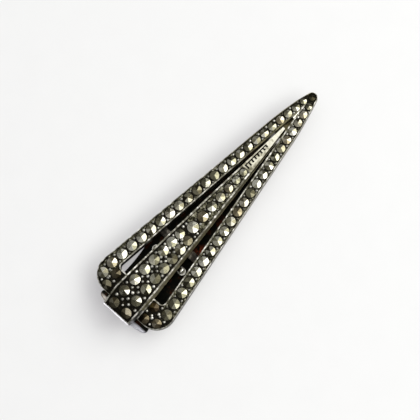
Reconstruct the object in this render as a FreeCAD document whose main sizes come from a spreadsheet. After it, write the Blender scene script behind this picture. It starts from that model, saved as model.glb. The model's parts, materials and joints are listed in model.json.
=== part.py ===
import FreeCAD, Part

import math
import os

import Sketcher
from FreeCAD import Placement, Rotation, Vector

# A marcasite clip brooch, front face up. Millimetres: +X across, +Y towards the pointed tip, +Z out of
# the front. Z is zero under the clip lever that the brooch lies on, and X and Y are zero at its middle.

DOCUMENT_NAME = "ClipBrooch"
PARTS_FOLDER = "parts"

SIZES = [
    # heights above the surface that the clip lever lies on
    ("back_z", 3.9, "underside of the frame and of the wedge's walls"),
    ("front_z", 6.1, "top of the frame's edges"),
    ("frame_end_z", 5.1, "top of the frame's edge at the wide end, where it curves down"),
    ("wedge_crest_z", 8.2, "top of the wedge's rims where its end starts to curve down"),
    ("wedge_end_z", 6.75, "top of the wedge's rims at the wide end"),
    ("frame_bend", 17.9, "radius of the frame's curved wide end"),
    ("wedge_bend", 17.3, "radius of the wedge's curved wide end"),
    ("bend_y", -20.5, "where the front starts to curve down"),
    ("tip_z", 5.2, "top of the frame's edge at the tip, where it curves down again"),
    ("tip_bend", 10.73, "radius of that curve"),
    ("tip_bend_y", 24.2, "where it starts"),
    ("recess", 0.35, "depth of the stones' floor under the rims"),
    # the openwork frame's outline
    ("frame_end_y", -26.4, "wide end of the two corners"),
    ("end_half", 5.05, "half the width of the straight end"),
    ("corner_half", 8.81, "half the width behind the rounded corners"),
    ("corner_y", -22.07, "where the rounded corners meet the sides"),
    ("corner_radius", 3.8, "rounded corners"),
    ("ogive_y", 17.1, "where the straight sides start to curve to the tip"),
    ("ogive_half", 3.2, "half the width there"),
    ("ogive_radius", 77.0, "curve of the sides near the tip"),
    ("tip_y", 28.5, "tip"),
    ("tip_shoulder_y", 27.6, "where the rounded tip starts"),
    ("tip_half", 1.0, "half the width there"),
    ("edge_rim", 0.12, "thin rim along the outer edge"),
    ("slot_rim", 0.22, "bright rim along the slots"),
    ("slot_end_y", -21.4, "wide end of the two slots"),
    ("slot_half", 5.6, "outer edge of the slots at their wide end"),
    ("slot_corner", 0.8, "rounded outer corner of the slots"),
    ("slot_apex_y", 24.0, "where the slots' outer edges meet"),
    ("rim_apex_y", 26.0, "where the rims along them run out"),
    # the raised centre wedge
    ("wedge_start_y", -28.15, "wide end, against the end wall"),
    ("wedge_end_half", 3.1, "half the width there"),
    ("wedge_taper_y", -24.5, "where it is widest"),
    ("wedge_half", 3.32, "half the width there"),
    ("wedge_tip_y", 19.3, "narrow end"),
    ("wedge_tip_half", 0.24, "half the width there"),
    ("wedge_rim", 0.26, "rim along its sides"),
    ("wedge_bow", 1400.0, "slight outward curve of its sides"),
    ("pave_end_y", 8.3, "where its stones end and its plain tip starts"),
    ("wall", 0.45, "thickness of its walls"),
    ("plate", 1.35, "thickness of its top, rims included"),
    ("end_wall_y", -28.5, "outside of the wall that closes its wide end"),
    # bars and plates soldered across the back
    ("bar_thick", 0.6, "thickness of the bars and of the bracket's base"),
    ("rear_bar_y", -24.4, "bar across the corners"),
    ("rear_bar_half", 6.6, "half its length"),
    ("front_bar_y", -11.3, "bar across the slots"),
    ("front_bar_half", 5.6, "half its length"),
    ("bar_wide", 1.6, "width of both bars"),
    ("backing_start_y", 17.7, "plate behind the wedge's tip"),
    ("backing_end_y", 23.6, "far end of that plate"),
    ("backing_half", 1.7, "half its width"),
    ("backing_thick", 0.4, "its thickness"),
    # hinge
    ("hinge_y", -13.9, "hinge axis"),
    ("hinge_z", 2.1, "hinge axis"),
    ("pin_radius", 0.5, "hinge pin"),
    ("pin_fit", 0.04, "radial clearance of the pin in the lever's ears"),
    ("knuckle", 0.95, "radius of the ears' round ends and of the pin's ball ends"),
    ("bracket_half", 2.3, "outside of the bracket's ears"),
    ("ear_thick", 0.55, "thickness of all four ears"),
    ("ear_gap", 0.1, "side gap between bracket and lever ears"),
    ("base_start_y", -16.3, "bracket's base"),
    ("base_end_y", -11.5, "bracket's base"),
    ("ball_x", 3.2, "centre of the pin's ball ends"),
    # spring
    ("wire_radius", 0.17, "spring wire"),
    ("coil_radius", 0.72, "centre line of the coil"),
    ("coil_half", 0.85, "half the coil's length"),
    ("leg_long", 10.0, "length of the spring's legs towards the wide end"),
    ("leg_gap", 0.02, "gap between a leg's end and what it presses"),
    # clip lever
    ("lever_thick", 0.8, "thickness of its plate"),
    ("tab_y", -27.35, "corners of the finger tab"),
    ("tab_half", 6.0, "half the tab's width"),
    ("tab_bow", 20.0, "curved end of the tab"),
    ("waist_radius", 31.0, "hollow sides of the tab"),
    ("hip_y", -13.0, "widest part beside the hinge"),
    ("hip_half", 5.9, "half the width there"),
    ("jaw_y", 15.6, "where the rounded jaw end starts"),
    ("jaw_half", 2.2, "half the width there"),
    ("jaw_radius", 2.4, "rounded jaw end"),
    ("lever_corner", 0.8, "rounded corners of the plate"),
    ("lever_edge", 0.12, "eased edges of the plate"),
    ("comb_y", 15.4, "comb of teeth that grips the cloth"),
    ("comb_thick", 0.6, "its thickness"),
    ("comb_half", 1.5, "half its width"),
    ("comb_z", 3.0, "foot of the teeth"),
    ("tooth_z", 3.75, "points of the teeth"),
    ("tooth_radius", 0.26, "foot radius of a tooth"),
    ("tooth_pitch", 1.0, "distance between teeth"),
    # stones
    ("arm_stone_wide", 1.03, "radius of the arm stones at the wide end"),
    ("arm_stone_tip", 0.77, "and at the tip"),
    ("arm_pitch_wide", 2.47, "pitch of the arm stones at the wide end"),
    ("arm_pitch_tip", 1.85, "and at the tip"),
    ("left_row_y", -24.05, "first stone of the left arm"),
    ("right_row_y", -22.05, "first stone of the right arm"),
    ("arm_row_end_y", 26.3, "the arm rows stop before this"),
    ("corner_stone", 0.93, "radius of the two inner stones of each corner"),
    ("left_corner_x", 5.2, "their distance from the axis in the left corner"),
    ("right_corner_x", 4.5, "and in the right corner"),
    ("corner_stone_y", -22.6, "the one nearer the tip"),
    ("corner_pitch", 2.7, "distance to the one at the end"),
    ("outer_stone_x", 6.9, "extra stone in the right corner"),
    ("outer_stone_y", -24.5, "the same"),
    ("tip_stone_y", 27.35, "stone at the tip"),
    ("tip_stone", 0.66, "its radius"),
    ("pair_stone", 1.02, "radius of the wedge's paired stones"),
    ("pair_y", -26.85, "first pair"),
    ("pair_pitch_wide", 2.9, "pitch of the pairs at the wide end"),
    ("pair_pitch_tip", 2.05, "pitch of the last pairs"),
    ("pair_end_y", -8.6, "the pairs stop before this"),
    ("single_y", -6.6, "first stone of the wedge's single row"),
    ("single_wide", 1.12, "its radius"),
    ("single_tip", 0.7, "radius of the last one"),
    ("single_gap", 0.5, "gap between single stones"),
    ("single_end_y", 7.9, "the single row stops before this"),
    ("stone_gap", 0.06, "least gap between a stone and what is beside it"),
    ("seat_depth", 0.12, "depth of each stone's drilled seat"),
    ("seat_gap", 0.04, "radial gap in the seat"),
    ("crown_slope", 0.42, "steepness of the stones' facets"),
    ("girdle", 0.3, "height of a stone's edge above its seat"),
]

FACETS = 6
TURN_PER_STONE = 37.0
SPRING_TURNS = 4.5
# a bend in the wire is a little thicker than the wire
BEND_SWELL = 1.1
# how far a cutting tool reaches past what it cuts
CLEAR = 1.0
# step used to measure a slope
STEP = 0.01
# the least cosine of two directions that count as parallel
NEARLY_ONE = 0.99

doc = FreeCAD.newDocument(DOCUMENT_NAME)
sheet = doc.addObject("Spreadsheet::Sheet", "Sizes")


def fill_sheet():
    for row, (alias, value, note) in enumerate(SIZES, start=1):
        sheet.set(f"A{row}", alias)
        sheet.set(f"B{row}", str(value))
        sheet.set(f"C{row}", note)
        sheet.setAlias(f"B{row}", alias)
    doc.recompute()


class Size:
    """A length from the sheet, or one worked out from it: its value, and the expression that gives it."""

    def __init__(self, value, text):
        self.value = value
        self.text = text

    @staticmethod
    def of(other):
        return other if isinstance(other, Size) else Size(float(other), repr(float(other)))

    def __add__(self, other):
        other = Size.of(other)
        return Size(self.value + other.value, f"({self.text} + {other.text})")

    def __sub__(self, other):
        other = Size.of(other)
        return Size(self.value - other.value, f"({self.text} - {other.text})")

    def __mul__(self, other):
        other = Size.of(other)
        return Size(self.value * other.value, f"({self.text} * {other.text})")

    def __truediv__(self, other):
        other = Size.of(other)
        return Size(self.value / other.value, f"({self.text} / {other.text})")

    def __neg__(self):
        return Size(-self.value, f"(0 - {self.text})")


def size(alias):
    return Size(float(sheet.get(alias)), f"Sizes.{alias}")


def number(alias):
    return float(sheet.get(alias))


def bind(feature, prop, amount):
    feature.setExpression(prop, Size.of(amount).text)


# ---------------------------------------------------------------- sketches and solids

UPRIGHT = Placement(Vector(0, 0, 0), Rotation(Vector(1, 1, 1), 120))


def arc_centre(start, end, radius):
    """Centre of the arc that turns left from start to end, or right if radius is negative."""
    middle = (start + end) * 0.5
    along = end - start
    half = along.Length / 2
    rise = math.sqrt(max(radius * radius - half * half, 0.0))
    left = Vector(-along.y, along.x, 0).normalize()
    return middle + left * math.copysign(rise, radius)


def pin_point(sketch, geometry, position, x, y):
    """Ties one end of a line or arc to the sizes that place it."""
    for kind, amount, axis in (("DistanceX", x, -2), ("DistanceY", y, -1)):
        if abs(amount.value) < 1e-9:
            sketch.addConstraint(Sketcher.Constraint("PointOnObject", geometry, position, axis))
            continue
        index = sketch.addConstraint(
            Sketcher.Constraint(kind, -1, 1, geometry, position, amount.value)
        )
        sketch.setExpression(f"Constraints[{index}]", amount.text)


def draw_outline(sketch, corners):
    """A closed outline. Each corner is (x, y) or (x, y, radius): the radius bends the edge that leaves it,
    to the left (anticlockwise) if it is positive and to the right if it is negative."""
    corners = [(Size.of(c[0]), Size.of(c[1]), *c[2:]) for c in corners]
    count = len(corners)
    for i, corner in enumerate(corners):
        after = corners[(i + 1) % count]
        start = Vector(corner[0].value, corner[1].value, 0)
        end = Vector(after[0].value, after[1].value, 0)
        if len(corner) == 2:
            sketch.addGeometry(Part.LineSegment(start, end))
            continue
        centre = arc_centre(start, end, corner[2].value)
        first, last = (start, end) if corner[2].value > 0 else (end, start)
        angles = [math.atan2(p.y - centre.y, p.x - centre.x) for p in (first, last)]
        circle = Part.Circle(centre, Vector(0, 0, 1), abs(corner[2].value))
        sketch.addGeometry(Part.ArcOfCircle(circle, *angles))
    for i, corner in enumerate(corners):
        starts_at = 1 if len(corner) == 2 or corner[2].value > 0 else 2
        before = corners[i - 1]
        ended_at = 2 if len(before) == 2 or before[2].value > 0 else 1
        sketch.addConstraint(
            Sketcher.Constraint("Coincident", (i - 1) % count, ended_at, i, starts_at)
        )
        pin_point(sketch, i, starts_at, corner[0], corner[1])
        if len(corner) == 3:
            radius = corner[2]
            index = sketch.addConstraint(Sketcher.Constraint("Radius", i, abs(radius.value)))
            sketch.setExpression(f"Constraints[{index}]", f"abs({radius.text})")


def mirrored(half):
    """Completes an outline given as its right half, whose ends are on the axis or beside it."""
    left = []
    for i in range(len(half) - 1, -1, -1):
        x, y = half[i][:2]
        if abs(Size.of(x).value) < 1e-9:
            continue
        bend = half[i - 1][2:] if i else ()
        left.append((-Size.of(x), y, *bend))
    return half + left


def free_sketch(name, corners, upright=False):
    sketch = doc.addObject("Sketcher::SketchObject", name)
    if upright:
        sketch.Placement = UPRIGHT
    draw_outline(sketch, corners)
    return sketch


def prism(name, corners, low, high):
    """The outline, seen from the front, made solid between two heights."""
    sketch = free_sketch(name + "_outline", corners)
    bind(sketch, "Placement.Base.z", low)
    solid = doc.addObject("Part::Extrusion", name)
    solid.Base = sketch
    solid.DirMode = "Normal"
    solid.Solid = True
    bind(solid, "LengthFwd", Size.of(high) - low)
    return solid


def side_prism(name, corners, half_width):
    """The side profile, seen along X with Y to the right and Z up, made solid both ways from the middle."""
    sketch = free_sketch(name + "_profile", corners, upright=True)
    solid = doc.addObject("Part::Extrusion", name)
    solid.Base = sketch
    solid.DirMode = "Normal"
    solid.Solid = True
    solid.Symmetric = True
    bind(solid, "LengthFwd", Size.of(half_width) * 2)
    return solid


def block(name, low, high):
    """A box between two corners."""
    solid = doc.addObject("Part::Box", name)
    for prop, axis, a, b in zip(("Length", "Width", "Height"), "xyz", low, high):
        bind(solid, prop, Size.of(b) - a)
        bind(solid, f"Placement.Base.{axis}", a)
    return solid


def rod(name, centre_y, centre_z, radius, from_x, to_x):
    """A cylinder along X."""
    solid = doc.addObject("Part::Cylinder", name)
    solid.Placement = Placement(Vector(0, 0, 0), Rotation(Vector(0, 1, 0), 90))
    bind(solid, "Radius", radius)
    bind(solid, "Height", Size.of(to_x) - from_x)
    bind(solid, "Placement.Base.x", from_x)
    bind(solid, "Placement.Base.y", centre_y)
    bind(solid, "Placement.Base.z", centre_z)
    return solid


def cut(name, base, tool):
    solid = doc.addObject("Part::Cut", name)
    solid.Base = base
    solid.Tool = tool
    return solid


def common(name, first, second):
    solid = doc.addObject("Part::MultiCommon", name)
    solid.Shapes = [first, second]
    return solid


def fuse(name, *solids):
    whole = doc.addObject("Part::MultiFuse", name)
    whole.Shapes = list(solids)
    whole.Refine = True
    return whole


def set_shape(name, shape):
    feature = doc.addObject("Part::Feature", name)
    feature.Shape = shape
    feature.Placement = Placement()
    return feature


# ---------------------------------------------------------------- the curved front

def bent(y, right, left, radius):
    """Height at y on an arc that bulges upwards between two points (y, z) of a side profile."""
    centre = arc_centre(Vector(*right, 0), Vector(*left, 0), radius)
    return centre.y + math.sqrt(radius**2 - (y - centre.x) ** 2)


def frame_top(y):
    front = number("front_z")
    bend = number("bend_y"), front
    tip_bend = number("tip_bend_y"), front
    if y > tip_bend[0]:
        return bent(y, (number("tip_y"), number("tip_z")), tip_bend, number("tip_bend"))
    if y < bend[0]:
        return bent(y, bend, (number("frame_end_y"), number("frame_end_z")), number("frame_bend"))
    return front


def wedge_top(y):
    bend = number("bend_y"), number("wedge_crest_z")
    if y >= bend[0]:
        return blend(y, number("wedge_tip_y"), bend[0], number("front_z"), bend[1])
    return bent(y, bend, (number("wedge_start_y"), number("wedge_end_z")), number("wedge_bend"))


def frame_profile(name, lower):
    """Side profile of the frame, with its front lowered."""
    corners = [
        (size("frame_end_y"), size("back_z")),
        (size("tip_y"), size("back_z")),
        (size("tip_y"), size("tip_z") - lower, size("tip_bend")),
        (size("tip_bend_y"), size("front_z") - lower),
        (size("bend_y"), size("front_z") - lower, size("frame_bend")),
        (size("frame_end_y"), size("frame_end_z") - lower),
    ]
    return side_prism(name, corners, size("corner_half") + CLEAR)


def wedge_profile(name, lower):
    """Side profile of the wedge, with its front lowered."""
    corners = [
        (size("wedge_start_y"), size("back_z")),
        (size("wedge_tip_y"), size("back_z")),
        (size("wedge_tip_y"), size("front_z") - lower),
        (size("bend_y"), size("wedge_crest_z") - lower, size("wedge_bend")),
        (size("wedge_start_y"), size("wedge_end_z") - lower),
    ]
    return side_prism(name, corners, size("wedge_half") + CLEAR)


# ---------------------------------------------------------------- stones

def side_x(y):
    """Half the frame's width: a rounded corner, a straight side and a curve to the tip."""
    if y < number("corner_y"):
        radius = number("corner_radius")
        return number("end_half") + math.sqrt(radius**2 - (y - number("frame_end_y") - radius) ** 2)
    slope = (number("corner_half") - number("ogive_half")) / (number("ogive_y") - number("corner_y"))
    straight = number("ogive_half") + slope * (number("ogive_y") - y)
    beyond = max(y - number("ogive_y"), 0.0)
    return straight - beyond**2 / (2 * number("ogive_radius"))


def slot_x(y):
    """Distance from the axis to the slots' outer edge."""
    slope = number("slot_half") / (number("slot_apex_y") - number("slot_end_y"))
    return max(slope * (number("slot_apex_y") - y), 0.0)


def wedge_x(y):
    """Half the wedge's width."""
    run = (y - number("wedge_taper_y")) / (number("wedge_tip_y") - number("wedge_taper_y"))
    return number("wedge_half") + (number("wedge_tip_half") - number("wedge_half")) * max(run, 0.0)


def blend(y, from_y, to_y, first, last):
    return first + (last - first) * (y - from_y) / (to_y - from_y)


def arm_row(side, start_y):
    """Stones down the middle of one arm, closer and smaller towards the tip: (x, y, radius)."""
    end = number("arm_row_end_y")
    stones = []
    y = start_y
    while y < end:
        room = (side_x(y) - slot_x(y) - number("edge_rim") - number("stone_gap")) / 2
        radius = min(blend(y, start_y, end, number("arm_stone_wide"), number("arm_stone_tip")), room)
        stones.append((side * (side_x(y) + slot_x(y)) / 2, y, radius))
        y += blend(y, start_y, end, number("arm_pitch_wide"), number("arm_pitch_tip"))
    return stones


def left_corner():
    x, y, radius = -number("left_corner_x"), number("corner_stone_y"), number("corner_stone")
    return [(x, y, radius), (x, y - number("corner_pitch"), radius)]


def right_corner():
    x, y, radius = number("right_corner_x"), number("corner_stone_y"), number("corner_stone")
    outer = number("outer_stone_x"), number("outer_stone_y"), radius
    return [(x, y, radius), (x, y - number("corner_pitch"), radius), outer]


def pair_row(side):
    """One row of the wedge's paired stones."""
    start, end = number("pair_y"), number("pair_end_y")
    stones = []
    y = start
    while y < end:
        x = (wedge_x(y) - number("wedge_rim")) / 2
        stones.append((side * x, y, min(number("pair_stone"), x - number("stone_gap"))))
        y += blend(y, start, end, number("pair_pitch_wide"), number("pair_pitch_tip"))
    return stones


def single_row():
    """The wedge's single row, in front of the pairs."""
    start, end = number("single_y"), number("single_end_y")
    stones = []
    y = start
    while y < end:
        room = wedge_x(y) - number("wedge_rim") - number("stone_gap")
        radius = min(blend(y, start, end, number("single_wide"), number("single_tip")), room)
        stones.append((0.0, y, radius))
        y += 2 * radius + number("single_gap")
    return stones


def seated(top, stone):
    """Where a stone stands: on the floor of its seat, square to the curved front."""
    x, y, _ = stone
    tilt = math.degrees(math.atan2(top(y + STEP) - top(y - STEP), 2 * STEP))
    turn = Rotation(Vector(1, 0, 0), tilt)
    floor = Vector(x, y, top(y) - number("recess"))
    return Placement(floor - turn.multVec(Vector(0, 0, number("seat_depth"))), turn)


def rose_cut(radius, turn):
    """A flat-backed stone with six facets that rise to a point in the middle."""
    girdle, slope = number("girdle"), number("crown_slope")
    ridge_drop = math.cos(math.pi / FACETS)
    apex = Vector(0, 0, girdle + radius * slope)
    foot, edge = [], []
    for i in range(2 * FACETS):
        angle = math.radians(turn) + i * math.pi / FACETS
        out = Vector(math.cos(angle), math.sin(angle), 0) * radius
        height = girdle if i % 2 else girdle + radius * slope * (1 - ridge_drop)
        foot.append(out)
        edge.append(out + Vector(0, 0, height))
    faces = [Part.Face(Part.makePolygon(foot + foot[:1]))]
    for i in range(2 * FACETS):
        j = (i + 1) % (2 * FACETS)
        faces.append(Part.Face(Part.makePolygon([foot[i], foot[j], edge[j], edge[i], foot[i]])))
    for i in range(0, 2 * FACETS, 2):
        j = (i + 2) % (2 * FACETS)
        faces.append(Part.Face(Part.makePolygon([edge[i], edge[i + 1], edge[j], apex, edge[i]])))
    return Part.makeSolid(Part.makeShell(faces))


def stone_group(name, top, stones):
    solids = []
    for i, stone in enumerate(stones):
        solid = rose_cut(stone[2], i * TURN_PER_STONE)
        solid.Placement = seated(top, stone)
        solids.append(solid)
    return set_shape(name, Part.makeCompound(solids))


def seat_drills(name, top, stones):
    """The round seats under the stones, as tools to cut them with."""
    drills = []
    for stone in stones:
        drill = Part.makeCylinder(stone[2] + number("seat_gap"), CLEAR)
        drill.Placement = seated(top, stone)
        drills.append(drill)
    return set_shape(name, Part.makeCompound(drills))


# ---------------------------------------------------------------- setting

def arm_corners(edge, rim, apex_y):
    """Outline of the openwork frame, two arms that meet at the tip, less a rim along each side."""
    slot_side = size("slot_half") + rim
    slot_y = size("slot_end_y") - rim
    bend = size("slot_corner") + rim
    shoulder = size("tip_half") - edge
    rise = size("tip_y") - edge - size("tip_shoulder_y")
    tip_radius = (shoulder * shoulder + rise * rise) / (rise * 2)
    return mirrored([
        (0, apex_y),
        (slot_side, slot_y + bend, -bend),
        (slot_side - bend, slot_y),
        (size("wedge_half") + rim, slot_y),
        (size("wedge_half") + rim, size("frame_end_y") + edge),
        (size("end_half") - edge, size("frame_end_y") + edge, size("corner_radius")),
        (size("corner_half") - edge, size("corner_y")),
        (size("ogive_half") - edge, size("ogive_y"), size("ogive_radius")),
        (shoulder, size("tip_shoulder_y"), tip_radius),
    ])


def wedge_corners(rim, start_y, end_y):
    """Outline of the wedge, less a rim along each side, between two places along it."""
    return mirrored([
        (size("wedge_end_half") - rim, start_y),
        (size("wedge_half") - rim, size("wedge_taper_y"), size("wedge_bow")),
        (size("wedge_tip_half"), end_y),
    ])


def wedge_room(rim):
    """Where a side set in by the rim reaches the wedge's tip width."""
    slope = (size("wedge_tip_y") - size("wedge_taper_y")) / (size("wedge_half") - size("wedge_tip_half"))
    return size("wedge_tip_y") - slope * rim


def make_frame(stones):
    none = Size.of(0)
    ceiling = size("front_z") + CLEAR
    outline = prism("frame_block", arm_corners(none, none, size("slot_apex_y")), size("back_z"), ceiling)
    body = common("frame_body", outline, frame_profile("frame_front", none))
    inside = arm_corners(size("edge_rim"), size("slot_rim"), size("rim_apex_y"))
    well = prism("frame_well", inside, size("back_z"), ceiling)
    floor = cut("frame_recess", well, frame_profile("frame_floor", size("recess")))
    recessed = cut("frame_recessed", body, floor)
    return cut("arm_frame", recessed, seat_drills("frame_seats", frame_top, stones))


def make_wedge(stones):
    none = Size.of(0)
    ceiling = size("wedge_crest_z") + CLEAR
    outline = prism(
        "wedge_block",
        wedge_corners(none, size("wedge_start_y"), size("wedge_tip_y")),
        size("back_z"),
        ceiling,
    )
    body = common("wedge_body", outline, wedge_profile("wedge_front", none))
    rim = size("wedge_rim")
    inside = wedge_corners(rim, size("wedge_start_y") + size("edge_rim"), wedge_room(rim))
    well = prism("wedge_well", inside, size("back_z"), ceiling)
    plain_tip = block(
        "wedge_plain_tip",
        (-size("wedge_half"), size("pave_end_y"), size("back_z")),
        (size("wedge_half"), size("tip_y"), ceiling),
    )
    lowered = cut("wedge_above_floor", well, wedge_profile("wedge_floor", size("recess")))
    floor = cut("wedge_recess", lowered, plain_tip)
    wall = size("wall")
    hollow_outline = prism(
        "wedge_hollow_block",
        wedge_corners(wall, size("wedge_start_y") + wall, wedge_room(wall)),
        size("back_z") - CLEAR,
        ceiling,
    )
    hollow = common("wedge_hollow", hollow_outline, wedge_profile("wedge_inside", size("plate")))
    recessed = cut("wedge_recessed", body, floor)
    hollowed = cut("wedge_hollowed", recessed, hollow)
    return cut("centre_wedge", hollowed, seat_drills("wedge_seats", wedge_top, stones))


def make_end_wall():
    """Plain polished strip that closes the wedge's wide end."""
    return block(
        "end_wall",
        (-size("wedge_end_half"), size("end_wall_y"), size("back_z")),
        (size("wedge_end_half"), size("wedge_start_y"), size("wedge_end_z")),
    )


def make_bar(name, y, half):
    return block(
        name,
        (-half, y, size("back_z") - size("bar_thick")),
        (half, y + size("bar_wide"), size("back_z")),
    )


def make_backing():
    """Small plate behind the wedge's tip."""
    return block(
        "tip_backing",
        (-size("backing_half"), size("backing_start_y"), size("back_z") - size("backing_thick")),
        (size("backing_half"), size("backing_end_y"), size("back_z")),
    )


# ---------------------------------------------------------------- bodies made of sketches and features

def new_body(name):
    return doc.addObject("PartDesign::Body", name)


def body_sketch(body, name, role, offset):
    """A sketch on one of the body's own origin planes, moved along its normal."""
    plane = next(f for f in body.Origin.OriginFeatures if f.Role == role)
    sketch = body.newObject("Sketcher::SketchObject", name)
    sketch.AttachmentSupport = [(plane, "")]
    sketch.MapMode = "FlatFace"
    bind(sketch, "AttachmentOffset.Base.z", offset)
    return sketch


def pad(body, name, sketch, length):
    feature = body.newObject("PartDesign::Pad", name)
    feature.Profile = sketch
    bind(feature, "Length", length)
    return feature


def mirror_across(body, name, feature):
    """The same feature on the other side of the middle."""
    plane = next(f for f in body.Origin.OriginFeatures if f.Role == "YZ_Plane")
    copy = body.newObject("PartDesign::Mirrored", name)
    copy.Originals = [feature]
    copy.MirrorPlane = (plane, [""])
    body.Tip = copy
    return copy


def pin_bore(body, name, radius):
    """A round hole along X through both ears."""
    sketch = body_sketch(body, name + "_circle", "YZ_Plane", 0)
    centre = Vector(number("hinge_y"), number("hinge_z"), 0)
    sketch.addGeometry(Part.Circle(centre, Vector(0, 0, 1), radius.value))
    pin_point(sketch, 0, 3, size("hinge_y"), size("hinge_z"))
    index = sketch.addConstraint(Sketcher.Constraint("Radius", 0, radius.value))
    sketch.setExpression(f"Constraints[{index}]", radius.text)
    bore = body.newObject("PartDesign::Pocket", name)
    bore.Profile = sketch
    bore.Type = "ThroughAll"
    bore.Midplane = True
    return bore


def upright_edges(shape):
    """Names of the edges that run along Z."""
    edges = enumerate(shape.Edges, start=1)
    return [f"Edge{i}" for i, edge in edges if abs(edge.tangentAt(edge.FirstParameter).z) > NEARLY_ONE]


def level_faces(shape):
    """Names of the top and bottom faces."""
    faces = enumerate(shape.Faces, start=1)
    return [f"Face{i}" for i, face in faces if abs(face.normalAt(0, 0).z) > NEARLY_ONE]


def ear_corners(root_z):
    """An ear with a round end about the hinge axis, in the Y-Z plane."""
    radius, axis_z = size("knuckle"), size("hinge_z")
    first, second = size("hinge_y") - radius, size("hinge_y") + radius
    if root_z.value > axis_z.value:
        first, second = second, first
    return [(first, root_z), (second, root_z), (second, axis_z, radius), (first, axis_z)]


def make_bracket():
    """Base soldered under the wedge, with two ears that carry the pin."""
    body = new_body("hinge_bracket")
    base_z = size("back_z") - size("bar_thick")
    half = size("bracket_half")
    outline = body_sketch(body, "bracket_base_outline", "XY_Plane", base_z)
    draw_outline(outline, [
        (-half, size("base_start_y")),
        (half, size("base_start_y")),
        (half, size("base_end_y")),
        (-half, size("base_end_y")),
    ])
    pad(body, "bracket_base", outline, size("bar_thick"))
    ear_outline = body_sketch(body, "bracket_ear_outline", "YZ_Plane", half - size("ear_thick"))
    draw_outline(ear_outline, ear_corners(base_z))
    ear = pad(body, "bracket_ear", ear_outline, size("ear_thick"))
    mirror_across(body, "bracket_ears", ear)
    pin_bore(body, "bracket_bore", size("pin_radius"))
    return body


def make_lever():
    """Plate that lies along the back, with a finger tab, two ears and a rounded jaw end."""
    body = new_body("clip_lever")
    outline = body_sketch(body, "lever_outline", "XY_Plane", 0)
    draw_outline(outline, mirrored([
        (size("tab_half"), size("tab_y"), -size("waist_radius")),
        (size("hip_half"), size("hip_y")),
        (size("jaw_half"), size("jaw_y"), size("jaw_radius")),
    ])[:-1] + [(-size("tab_half"), size("tab_y"), size("tab_bow"))])
    plate = pad(body, "lever_plate", outline, size("lever_thick"))
    doc.recompute()
    rounded = body.newObject("PartDesign::Fillet", "lever_rounded")
    rounded.Base = (plate, upright_edges(plate.Shape))
    bind(rounded, "Radius", size("lever_corner"))
    doc.recompute()
    eased = body.newObject("PartDesign::Chamfer", "lever_eased")
    eased.Base = (rounded, level_faces(rounded.Shape))
    bind(eased, "Size", size("lever_edge"))
    inner = size("bracket_half") - size("ear_thick") * 2 - size("ear_gap")
    ear_outline = body_sketch(body, "lever_ear_outline", "YZ_Plane", inner)
    draw_outline(ear_outline, ear_corners(size("lever_thick") / 2))
    ear = pad(body, "lever_ear", ear_outline, size("ear_thick"))
    mirror_across(body, "lever_ears", ear)
    pin_bore(body, "lever_bore", size("pin_radius") + size("pin_fit"))
    return body


# ---------------------------------------------------------------- pin, spring and jaw

def make_pin():
    return rod(
        "hinge_pin", size("hinge_y"), size("hinge_z"), size("pin_radius"), -size("ball_x"), size("ball_x")
    )


def make_ball(name, side):
    """Ball end of the pin, flat where it meets the bracket's ear."""
    ball = doc.addObject("Part::Sphere", name + "_sphere")
    bind(ball, "Radius", size("knuckle"))
    bind(ball, "Placement.Base.x", size("ball_x") * side)
    bind(ball, "Placement.Base.y", size("hinge_y"))
    bind(ball, "Placement.Base.z", size("hinge_z"))
    flat = block(
        name + "_flat",
        (-size("bracket_half"), size("hinge_y") - size("knuckle"), size("hinge_z") - size("knuckle")),
        (size("bracket_half"), size("hinge_y") + size("knuckle"), size("hinge_z") + size("knuckle")),
    )
    reach = size("ball_x")
    socket = rod(name + "_socket", size("hinge_y"), size("hinge_z"), size("pin_radius"), -reach, reach)
    return cut(name, cut(name + "_flattened", ball, flat), socket)


def straight(start, end, radius):
    return Part.makeCylinder(radius, (end - start).Length, start, end - start)


def make_spring():
    """Wire coiled on the pin, with a leg to the bar across the corners and a leg to the finger tab."""
    wire, coil, half = number("wire_radius"), number("coil_radius"), number("coil_half")
    axis = Vector(-half, number("hinge_y"), number("hinge_z"))
    helix = Part.makeHelix(2 * half / SPRING_TURNS, 2 * half, coil)
    section = Part.Wire(Part.makeCircle(wire, Vector(coil, 0, 0), Vector(0, 1, 0)))
    winding = Part.Wire(helix.Edges).makePipeShell([section], True, True)
    winding.Placement = Placement(axis, Rotation(Vector(1, 0, 0), -90) * UPRIGHT.Rotation)
    leg_y = number("hinge_y") - number("leg_long")
    low_start = axis - Vector(0, 0, coil)
    low_end = Vector(-half, leg_y, number("lever_thick") + wire + number("leg_gap"))
    high_start = axis + Vector(2 * half, 0, coil)
    bar_z = number("back_z") - number("bar_thick")
    high_end = Vector(half, leg_y, bar_z - wire - number("leg_gap"))
    bend = wire * BEND_SWELL
    pieces = [
        Part.makeSphere(bend, low_start),
        straight(low_start, low_end, wire),
        Part.makeSphere(bend, high_start),
        straight(high_start, high_end, wire),
    ]
    return set_shape("torsion_spring", winding.multiFuse(pieces))


def make_comb():
    """Comb soldered across the jaw end of the lever, with three pointed teeth."""
    bar = block(
        "comb_bar",
        (-size("comb_half"), size("comb_y"), size("lever_thick")),
        (size("comb_half"), size("comb_y") + size("comb_thick"), size("comb_z")),
    )
    teeth = []
    for place in (-1, 0, 1):
        tooth = doc.addObject("Part::Cone", f"tooth_{place + 2}")
        bind(tooth, "Radius1", size("tooth_radius"))
        bind(tooth, "Radius2", size("tooth_radius") / 4)
        bind(tooth, "Height", size("tooth_z") - size("comb_z"))
        bind(tooth, "Placement.Base.x", size("tooth_pitch") * place)
        bind(tooth, "Placement.Base.y", size("comb_y") + size("comb_thick") / 2)
        bind(tooth, "Placement.Base.z", size("comb_z"))
        teeth.append(tooth)
    return fuse("jaw_comb", bar, *teeth)


# ---------------------------------------------------------------- the whole brooch

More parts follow.
